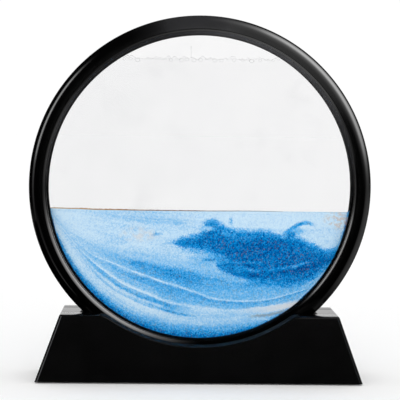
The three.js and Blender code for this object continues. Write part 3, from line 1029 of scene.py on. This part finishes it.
sweep_top = [
    (-0.92, 0.92), (-0.815, 0.774), (-0.68, 0.694), (-0.55, 0.638), (-0.41, 0.601), (-0.28, 0.571),
    (-0.14, 0.541), (0, 0.515), (0.12, 0.5), (0.2, 0.48), (0.31, 0.455), (0.475, 0.43), (0.58, 0.415),
    (0.715, 0.445), (0.78, 0.49), (0.86, 0.555),
]
cap_under = [
    (-0.98, 0.985), (-0.82, 0.972), (-0.75, 0.97), (-0.645, 0.955), (-0.55, 0.93), (-0.415, 0.912),
    (-0.28, 0.898), (-0.145, 0.888), (0.03, 0.871), (0.3, 0.865), (0.6, 0.86), (0.98, 0.86),
]
STRATA_LINES = [crescent_line, thread_line, lower_streak, upper_streak, sweep_top, cap_under]

dune_crest = [
    (-0.19, 0.748), (-0.12, 0.784), (-0.04, 0.81), (0.005, 0.826), (0.02, 0.88), (0.045, 0.916),
    (0.079, 0.932), (0.11, 0.915), (0.146, 0.892), (0.193, 0.86), (0.278, 0.847), (0.43, 0.844),
    (0.487, 0.83), (0.554, 0.806), (0.63, 0.808), (0.696, 0.776), (0.763, 0.74), (0.838, 0.705),
    (0.896, 0.718), (0.95, 0.745),
]
dune_foot = [
    (-0.19, 0.722), (-0.12, 0.7), (-0.044, 0.674), (0.05, 0.658), (0.1, 0.64), (0.108, 0.6),
    (0.118, 0.55), (0.19, 0.508), (0.278, 0.473), (0.355, 0.437), (0.43, 0.413), (0.506, 0.404),
    (0.573, 0.401), (0.639, 0.41), (0.715, 0.436), (0.781, 0.478), (0.829, 0.528), (0.869, 0.578),
    (0.95, 0.68),
]


def rim_line():
    """The cell's round floor as corners of a drift line."""
    across = np.linspace(-0.999, 0.999, 31)
    return [(float(a), float((1 - math.sqrt(1 - a * a)) * LINE_RADIUS / LINE_DEPTH)) for a in across]


print("lines between strata:", len(STRATA_LINES), "and the dune's crest and foot")

# %% [markdown]
# ## Strata of the sand
#
# Blue and white sand lie in strata. A picture could be laid on the sand, but its grains would be as
# coarse as the pixels. Here the material works out where a point is across the cell and up the sand,
# counts the drift lines below it, and reads how blue that height is. Every grain shifts the reading a
# little, so that grains stray over the lines.

# %% Strata of the sand
GRAIN = 0.42 * MM
COARSE_GRAIN = 0.8 * MM
LEAST_STRATUM = 0.006

# Share of blue by height, counted in strata from the cell's floor
STRATA_BLUE = [
    (0.0, 0.85), (0.25, 0.71), (0.5, 0.58), (0.85, 0.44), (1.0, 0.38), (1.2, 0.26), (1.5, 0.15),
    (1.85, 0.19), (1.98, 0.38), (2.1, 0.32), (2.3, 0.25), (2.42, 0.36), (2.55, 0.48), (2.8, 0.46),
    (2.89, 0.24), (2.97, 0.14), (3.05, 0.26), (3.2, 0.33), (3.45, 0.37), (3.65, 0.42), (3.86, 0.46),
    (3.94, 0.26), (4.0, 0.14), (4.07, 0.33), (4.3, 0.4), (4.5, 0.43), (4.7, 0.47), (4.85, 0.4),
    (5.0, 0.3), (5.15, 0.19), (5.3, 0.11), (5.6, 0.07), (5.9, 0.08), (6.03, 0.18), (6.2, 0.2),
    (6.5, 0.15), (7.0, 0.12),
]

coloured_sand, sand = new_material("Coloured sand")
place = sand.place()
x, y, z = place.split()
fine = place.grains(GRAIN)
coarse = place.grains(COARSE_GRAIN)
stray_across = fine[0] - 0.5
stray_up = fine[1] - 0.5
across = x / LINE_RADIUS
up = (z - LINE_FLOOR) / LINE_DEPTH
sway = place.sway(50.0, 3.0, 0.55)
fray = place.sway(330.0, 2.0, 0.6)


def read(corners, at=across):
    """A drift line's height where the point is."""
    return (at * 0.5 + 0.5).line([((a + 1) / 2, h) for a, h in corners])


high = up + sway * 0.02 + stray_up * 0.009
lines = [read(rim_line())]
for corners in STRATA_LINES:
    lines.append(sand.math("MAXIMUM", read(corners), lines[-1] + LEAST_STRATUM))
lines.append(1.0)
steps = [high.span(low, top, kind="LINEAR") for low, top in zip(lines, lines[1:])]
strata = sum(steps[1:], steps[0])
blue = (strata / len(steps)).line([(s / len(steps), b) for s, b in STRATA_BLUE])
print("strata:", len(steps))

# %% [markdown]
# ## Strata from left to right
#
# A stratum is not the same all along: threads fade or stand out, and bands turn bluer or paler. Each
# stratum could be split into more lines, but it is easier to let the share of blue change across the
# cell. A window is 1 inside a stretch and runs out softly to both sides; it says where a change applies.

# %% Strata from left to right
# How much bluer, above 0.5, or paler the band under the swell is, from left to right
BAND_TINT = [
    (-0.95, 0.3), (-0.75, 0.15), (-0.5, 0.3), (-0.32, 0.75), (-0.1, 0.75), (0.08, 0.4), (0.4, 0.3),
    (0.9, 0.45),
]

# To the right the middle threads fade, and the lowest and the upper bands turn bluer
fade = strata.window(1.8, 1.95, 2.9, 3.0) * across.span(-0.3, 0.05)
blue = sand.mix(fade, blue, strata.span(1.9, 2.9, 0.2, 0.1))
low_band = strata.window(0.9, 1.1, 1.5, 1.75)
blue = blue + low_band * across.span(-0.1, 0.2) * 0.06
upper_band = strata.window(4.02, 4.2, 4.9, 5)
blue = blue + upper_band * (read(BAND_TINT) - 0.5) * 0.3

# To the left the low threads turn paler, and the threads above them stand out more
low_threads = strata.window(1.4, 1.7, 2.8, 2.95)
blue = blue + low_threads * across.window(-0.7, -0.5, -0.3, -0.1) * -0.1
left_side = across.window(-0.8, -0.65, -0.35, -0.15)
contrast = strata.window(1.7, 1.9, 4.1, 4.3) * left_side * 0.55
blue = blue + (blue - 0.36) * contrast
blue = blue + strata.window(1.9, 2.4, 4.7, 5) * left_side * -0.05

# Far to the left all but the lowest band turns paler, and so does the cap to the right
paler = across.span(-0.95, -0.45, 0.37, 1.0)
blue = blue * sand.math("MAXIMUM", paler, strata.span(1.2, 0.9))
cap = strata.span(5.95, 6.05) * across.span(-0.35, 0.2)
blue = sand.mix(cap, blue, 0.02)

# Fine streaks along the strata, and soft patches
along = sand.join(across * 2.6, y * 60.0, strata * 8.0)
streak_depth = across.span(0.3, -0.3, 0.2, 0.36)
blue = blue + along.sway(1.0, 5.0, 0.65) * streak_depth + place.sway(38.0) * 0.1
print("nodes for the strata:", len(sand.tree.nodes))

# %% [markdown]
# ## Dune
#
# A deep blue dune with a steep crest lies at the right. It could be one more stratum, but it begins only
# near the middle and has a frayed edge. So it is laid over the strata, between a foot and a crest line,
# with veins that run along its foot.

# %% Dune
loose = across + stray_across * 0.022 + fray * 0.02
ragged = up + stray_up * 0.022 + fray * 0.03 + sway * 0.015
above_foot = ragged - read(dune_foot, loose)
below_crest = read(dune_crest, loose) - ragged
lay = sand.join(across * 3.2, y * 60.0, above_foot * 46.0)
strand_depth = across.span(0.4, 0.1, 0.03, 0.14)
strands = lay.sway(1.3, 3.0, 0.6) * strand_depth
over_foot = (above_foot + strands).span(-0.018, 0.03)
under_crest = (below_crest + strands).span(-0.02, 0.03)
dune = over_foot * under_crest * loose.span(-0.22, -0.14)
vein_depth = above_foot.span(0.0, 0.25, 0.7, 0.25)
veins = lay.sway(1.0, 3.0, 0.6) * vein_depth
inside = sand.math("MINIMUM", above_foot, below_crest).span(0.0, 0.15)
blue = sand.mix(dune, blue, inside.scaled(0.64, 0.84) + veins)
print("nodes with the dune:", len(sand.tree.nodes))

# %% [markdown]
# ## Wisps
#
# Falling sand leaves small wisps and hollows. Noise alone would scatter them anywhere, so each is an
# oval patch at its own place that fades out to its rim and mixes its own share of blue in.

# %% Wisps
# Across, up, half width, half height, share of blue, how much covers
WISPS = [
    (0.08, 0.9, 0.09, 0.04, 0.58, 0.4), (-0.285, 0.81, 0.04, 0.016, 0.5, 0.7),
    (-0.14, 0.893, 0.07, 0.012, 0.4, 0.6), (-0.2, 0.738, 0.06, 0.016, 0.4, 0.4),
    (0.045, 0.855, 0.075, 0.03, 0.2, 1.0), (0.205, 0.915, 0.014, 0.045, 0.48, 0.7),
    (0.01, 0.75, 0.13, 0.03, 0.77, 0.7), (0.17, 0.81, 0.06, 0.03, 0.5, 0.5),
    (0.48, 0.74, 0.22, 0.07, 0.95, 0.5), (0.83, 0.63, 0.12, 0.03, 0.88, 0.6),
    (0.05, 0.61, 0.16, 0.07, 0.36, 0.7), (0.11, 0.63, 0.08, 0.045, 0.45, 0.7),
    (0.38, 0.425, 0.12, 0.03, 0.6, 0.6), (-0.41, 0.58, 0.07, 0.022, 0.6, 0.7),
    (-0.375, 0.465, 0.08, 0.022, 0.6, 0.7), (-0.57, 0.75, 0.14, 0.04, 0.25, 0.4),
    (0.8, 0.8, 0.13, 0.06, 0.02, 0.6), (0.63, 0.845, 0.07, 0.045, 0.45, 0.7),
    (0.55, 0.45, 0.14, 0.03, 0.68, 0.5), (0.42, 0.15, 0.08, 0.014, 0.12, 0.85),
    (0.6, 0.815, 0.05, 0.032, 0.72, 0.9),
]
drawn = up + stray_up * 0.012 + fray * 0.016 + sway * 0.02


def patch(centre, height, half_wide, half_high):
    """1 in the middle of an oval, 0 from its rim on."""
    aside = (loose - centre) / half_wide
    over = (drawn - height) / half_high
    return (aside * aside + over * over).span(1.0, 0.0)


for *oval, wisp_blue, cover in WISPS:
    blue = sand.mix(patch(*oval) * cover, blue, wisp_blue)
print("wisps:", len(WISPS))

# %% [markdown]
# ## Threads
#
# Thin threads of sand run along some drifts. Curves with a thickness could lie on the sand, but they
# would catch the light as ridges. Here a thread is a line in the material that fades out at both ends
# and is worn through in places.

# %% Threads
curl_line = [
    (0.52, 0.788), (0.554, 0.82), (0.62, 0.872), (0.668, 0.9), (0.701, 0.909), (0.74, 0.9), (0.79, 0.88),
]
lower_band = [
    (0.2, 0.51), (0.3, 0.497), (0.393, 0.4915), (0.5, 0.5), (0.62, 0.525), (0.75, 0.565), (0.858, 0.614),
    (0.95, 0.68),
]
light_arc = [
    (0.12, 0.6), (0.25, 0.558), (0.36, 0.535), (0.48, 0.54), (0.6, 0.562), (0.72, 0.602), (0.84, 0.65),
]
small_arc = [(0.08, 0.645), (0.2, 0.602), (0.34, 0.59), (0.5, 0.6)]
upper_strand = [(0.0, 0.612), (0.08, 0.613), (0.16, 0.62), (0.26, 0.628)]
middle_strand = [(0.1, 0.566), (0.18, 0.572), (0.28, 0.575)]
lower_strand = [(0.12, 0.548), (0.18, 0.523), (0.26, 0.5), (0.34, 0.485)]
pale_edge = [(0.58, 0.384), (0.66, 0.399), (0.716, 0.425), (0.81, 0.503), (0.9, 0.59)]
left_thread = [(-0.78, 0.7), (-0.68, 0.614), (-0.55, 0.557), (-0.41, 0.497), (-0.26, 0.44)]
under_thread = [
    (-0.62, 0.452), (-0.561, 0.42), (-0.487, 0.366), (-0.387, 0.315), (-0.296, 0.285), (-0.23, 0.262),
    (-0.15, 0.24),
]
mid_thread = [
    (-0.52, 0.36), (-0.43, 0.312), (-0.346, 0.28), (-0.246, 0.246), (-0.15, 0.22), (-0.03, 0.195),
]
deep_thread = [
    (-0.55, 0.375), (-0.462, 0.322), (-0.346, 0.265), (-0.246, 0.226), (-0.096, 0.18), (0.02, 0.155),
]
low_thread = [
    (-0.4, 0.373), (-0.34, 0.345), (-0.21, 0.284), (-0.07, 0.254), (0.04, 0.239), (0.12, 0.232),
]

# Line, half height, share of blue, how much covers
THREADS = [
    (lower_band, 0.03, 0.98, 0.9), (light_arc, 0.02, 0.45, 0.8), (small_arc, 0.016, 0.42, 0.75),
    (upper_strand, 0.013, 0.78, 0.9), (middle_strand, 0.013, 0.84, 0.85),
    (lower_strand, 0.014, 0.86, 0.85), (pale_edge, 0.014, 0.1, 0.7), (curl_line, 0.025, 0.66, 0.95),
    (left_thread, 0.03, 0.18, 0.9), (mid_thread, 0.024, 0.42, 0.75), (deep_thread, 0.011, 0.66, 0.8),
    (under_thread, 0.021, 0.66, 0.85), (low_thread, 0.02, 0.1, 0.8),
]


def off_line(corners):
    """How far a point is above or below a line."""
    return abs(drawn - read(corners))


worn = place.noise(130.0, 3.0).span(0.35, 0.65, 0.3, 1.0)
for corners, half_high, thread_blue, cover in THREADS:
    start, stop = corners[0][0], corners[-1][0]
    taper = (stop - start) / 4
    reach = loose.window(start, start + taper, stop - taper, stop)
    covered = off_line(corners).span(half_high, 0.1 * half_high) * reach * worn * cover
    blue = sand.mix(covered, blue, thread_blue)
print("threads:", len(THREADS))

# %% [markdown]
# ## Grains
#
# From near by the sand is grains of many shades. Real grains would be millions of small meshes. Instead
# a cell pattern gives each grain a random number, and it takes a shade near the share of blue around it.
# A few grains are navy, and brown flecks lie among the darker ones.

# %% Grains
FLECK = 0.5 * MM

# Colour by share of blue
SAND_RAMP = [
    (0.0, 204, 230, 248), (0.18, 158, 204, 239), (0.32, 112, 186, 238), (0.46, 66, 166, 231),
    (0.6, 24, 147, 219), (0.72, 6, 127, 202), (0.85, 1, 102, 176), (1.0, 0, 68, 136),
]

pick = sand.mix(0.25, fine[2], coarse[0]) - 0.5
spread = blue.span(0.1, 0.7, 0.26, 0.54)
navy = coarse[1].span(0.93, 0.95) * blue.span(0.3, 0.7) * 0.22
colour = (blue + pick * spread + navy).ramp(SAND_RAMP)
flecks = place.grains(FLECK)
fleck_share = sand.mix(dune, blue.span(0.12, 0.45) * 0.36, inside.scaled(0.08, 0.4))
brown = flecks[0].span(0.82, 0.88) * fleck_share
colour = sand.blend(brown, colour, sand.blend(flecks[1], seen(50, 84, 108), seen(150, 136, 122)))
print("nodes with the grains:", len(sand.tree.nodes))

# %% [markdown]
# ## Beige and white patches
#
# Some sand of other colours has mixed in: a beige patch at the upper left, a white band with a grey
# shade under it at the lower right, and gold specks at the upper right. They could be further strata,
# but they aren't shares of blue, so their colours are blended in last. The sand's surface is dull, with
# a fine bump for each grain.

# %% Beige and white patches
white_band = [(0.2, 0.21), (0.316, 0.215), (0.435, 0.226), (0.535, 0.245), (0.601, 0.26), (0.66, 0.274)]
band_shade = [(0.36, 0.171), (0.435, 0.18), (0.497, 0.193), (0.554, 0.212), (0.62, 0.236)]

beige = patch(-0.4, 0.81, 0.16, 0.07) * fray.span(-0.12, 0.12) * 0.45
colour = sand.blend(beige, colour, seen(226, 216, 208))
smudge = off_line(white_band).span(0.032, 0.012) * across.span(0.2, 0.62) * 0.85
colour = sand.blend(smudge, colour, seen(224, 226, 228))
shade_reach = across.window(0.31, 0.4, 0.54, 0.62)
shade = off_line(band_shade).span(0.016, 0.004) * shade_reach * 0.85
colour = sand.blend(shade, colour, sand.blend(flecks[2], seen(104, 146, 178), seen(160, 162, 160)))
gold_grains = place.noise(560.0, 2.0).span(0.44, 0.64)
colour = sand.blend(patch(0.92, 0.93, 0.12, 0.09) * gold_grains * 0.65, colour, seen(205, 178, 158))

grain_bump = sand.bump(fine[2], 0.05 * MM, 0.2)
dull = {"Base Color": colour, "Roughness": 0.9, "Specular IOR Level": 0.0, "Normal": grain_bump}
sand.surface(sand.shader("Principled", dull))
print("sand nodes:", len(sand.tree.nodes))

# %% [markdown]
# ## Sand drifts
#
# Each drift fills the cell from one line up to the next, from pane to pane. One block could carry the
# whole landscape, but the CAD model has a solid for each drift, and a piece here takes its place.
# Neighbours meet without a gap, so no seam shows. The top is not quite level, as loose sand never is.

# %% Sand drifts
SAND_HALF = CELL_HALF - 0.05 * MM
SAND_COLUMNS = 400
LEAST_FILL = 0.001 * MM
DUNE_START = -0.19
# How far the top stands above or below its level, in mm, from left to right
SURFACE = [
    (-1, 0.4), (-0.88, 0.1), (-0.79, 0.05), (-0.69, -0.3), (-0.4, -0.45), (0.05, -0.5), (0.35, -0.28),
    (0.6, -0.4), (1, -0.4),
]
stations = np.linspace(-0.999, 0.999, SAND_COLUMNS)
cell_floor = CENTRE_Z - CELL_RADIUS
rim_height = (1 - np.sqrt(1 - stations**2)) * CELL_RADIUS


def along_cell(corners, at=stations):
    """The height of a line through corners at every column."""
    return np.interp(at, *np.array(corners).T)


def height_of(corners):
    """A drift line's height above the cell's floor at every column."""
    share = along_cell(corners, stations * CELL_RADIUS / LINE_RADIUS)
    return LINE_FLOOR + share * LINE_DEPTH - cell_floor


def drift(name, node, low, top, material):
    """A slab of sand between two height arrays, from pane to pane."""
    corners = []
    for station, lower, upper in zip(stations, low, top):
        for side in (-SAND_HALF, SAND_HALF):
            for height in (lower, upper):
                corners.append((station * CELL_RADIUS, side, cell_floor + height))
    faces = []
    filled = top - low > LEAST_FILL
    for i in range(SAND_COLUMNS - 1):
        if not (filled[i] or filled[i + 1]):
            continue
        a, b = 4 * i, 4 * i + 4
        faces.append((a, b, b + 1, a + 1))
        faces.append((a + 2, a + 3, b + 3, b + 2))
        faces.append((a + 1, b + 1, b + 3, a + 3))
        faces.append((a, a + 2, b + 2, b))
    make(name, (corners, faces), material, "contents", [node])


sand_level = np.maximum(SAND_TOP - cell_floor + along_cell(SURFACE) * MM, rim_height)
levels = [rim_height]
for corners in (crescent_line, lower_streak, sweep_top):
    levels.append(np.maximum(height_of(corners), levels[-1]))
left_of_dune = stations < DUNE_START
cap_height = height_of(cap_under)
foot_height = np.maximum(np.where(left_of_dune, cap_height, height_of(dune_foot)), levels[-1])
crest_height = np.maximum(np.where(left_of_dune, cap_height, height_of(dune_crest)), foot_height)
levels += [foot_height, crest_height, sand_level]
drift_names = ["floor", "drift", "sweep", "swell", "dune", "cap"]
for name, low, top in zip(drift_names, levels, levels[1:]):
    low = np.minimum(low, sand_level)
    drift(f"grains_{name}", f"sand_{name}", low, np.minimum(top, sand_level), coloured_sand)
print("sand drifts:", len(drift_names))

# %% [markdown]
# ## Gold dust
#
# A dusting of gold sand lies along the top, thick at the left and gone at the right, and it turns grey
# and blue where it mixes with the sand below. It could be a colour on the cap, but it stands up from the
# top line grain by grain, so it is a thin drift with a random height at each column.

# %% Gold dust
DUST_LEAST = 0.22 * MM
DUST_SPREAD = 0.32 * MM
# How thick the dust is from left to right
DUST = [
    (-0.99, 0), (-0.96, 0.8), (-0.85, 0.9), (-0.75, 1.3), (-0.55, 1.2), (-0.35, 0.8), (0, 0.55),
    (0.3, 0.4), (0.55, 0),
]
# Colour from left to right
GOLD_RAMP = [
    (0.0, 214, 188, 150), (0.2, 196, 148, 92), (0.33, 160, 126, 94), (0.5, 138, 134, 134),
    (0.65, 142, 160, 176), (0.85, 170, 202, 226),
]


def gold_material():
    material, nodes = new_material("Gold dust")
    place = nodes.place()
    pick = place.grains(GRAIN)
    along = place.split()[0] * (0.5 / CELL_RADIUS) + 0.5
    stray = (pick[0] - 0.5) * 0.2 + along
    colour = nodes.blend(pick[1] * 0.5, stray.ramp(GOLD_RAMP), seen(96, 76, 58))
    nodes.surface(nodes.shader("Principled", {"Base Color": colour, "Roughness": 0.85}))
    return material


rng = np.random.default_rng(11)
dust_height = DUST_LEAST + DUST_SPREAD * rng.random(SAND_COLUMNS)
dust_top = sand_level + dust_height * along_cell(DUST)
drift("dust_gold", "sand_gold", sand_level, dust_top, gold_material())
print(f"gold dust: up to {(dust_top - sand_level).max() / MM:.2f} mm thick")

# %% [markdown]
# ## Small parts
#
# The spacer, seals, plug, cover and pads are hardly seen, so they keep their CAD shape and only get
# better materials. Rubber is dull and a little dusty, and the cover under the stand is moulded with a
# fine grain. Plain colours would do, but a grain with dust holds up from near by.


# %% Small parts
def dull_material(name, tone, rough, grain_size, shine=0.5):
    material, nodes = new_material(name)
    place = nodes.place()
    dust = place.noise(1 / (40 * grain_size), 4.0, 0.6)
    grain = place.noise(1 / grain_size)
    shade = dust.scaled(tone * 0.7, tone * 1.3)
    inputs = {"Base Color": nodes.join(shade, shade, shade), "Specular IOR Level": shine}
    inputs["Roughness"] = grain.scaled(rough - 0.1, rough + 0.1)
    inputs["Normal"] = nodes.bump(grain, grain_size * 0.1, 0.4)
    nodes.surface(nodes.shader("Principled", inputs))
    return material


rubber = dull_material("Black rubber", 0.012, 0.75, 0.3 * MM)
moulded_cover = dull_material("Moulded cover", 0.009, 0.5, 0.5 * MM)
dull_black = dull_material("Dull black plastic", 0.0015, 0.8, 0.4 * MM, 0.05)
seal_rubber = dull_material("Seal rubber", 0.01, 0.6, 0.3 * MM)
paint("spacer_ring", dull_black)
paint("front_seal", seal_rubber)
paint("rear_seal", seal_rubber)
paint("fill_plug", rubber)
paint("stand_bottom_cover", moulded_cover)
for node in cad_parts:
    if node.startswith("foot_pad"):
        paint(node, rubber)
print("small parts painted")
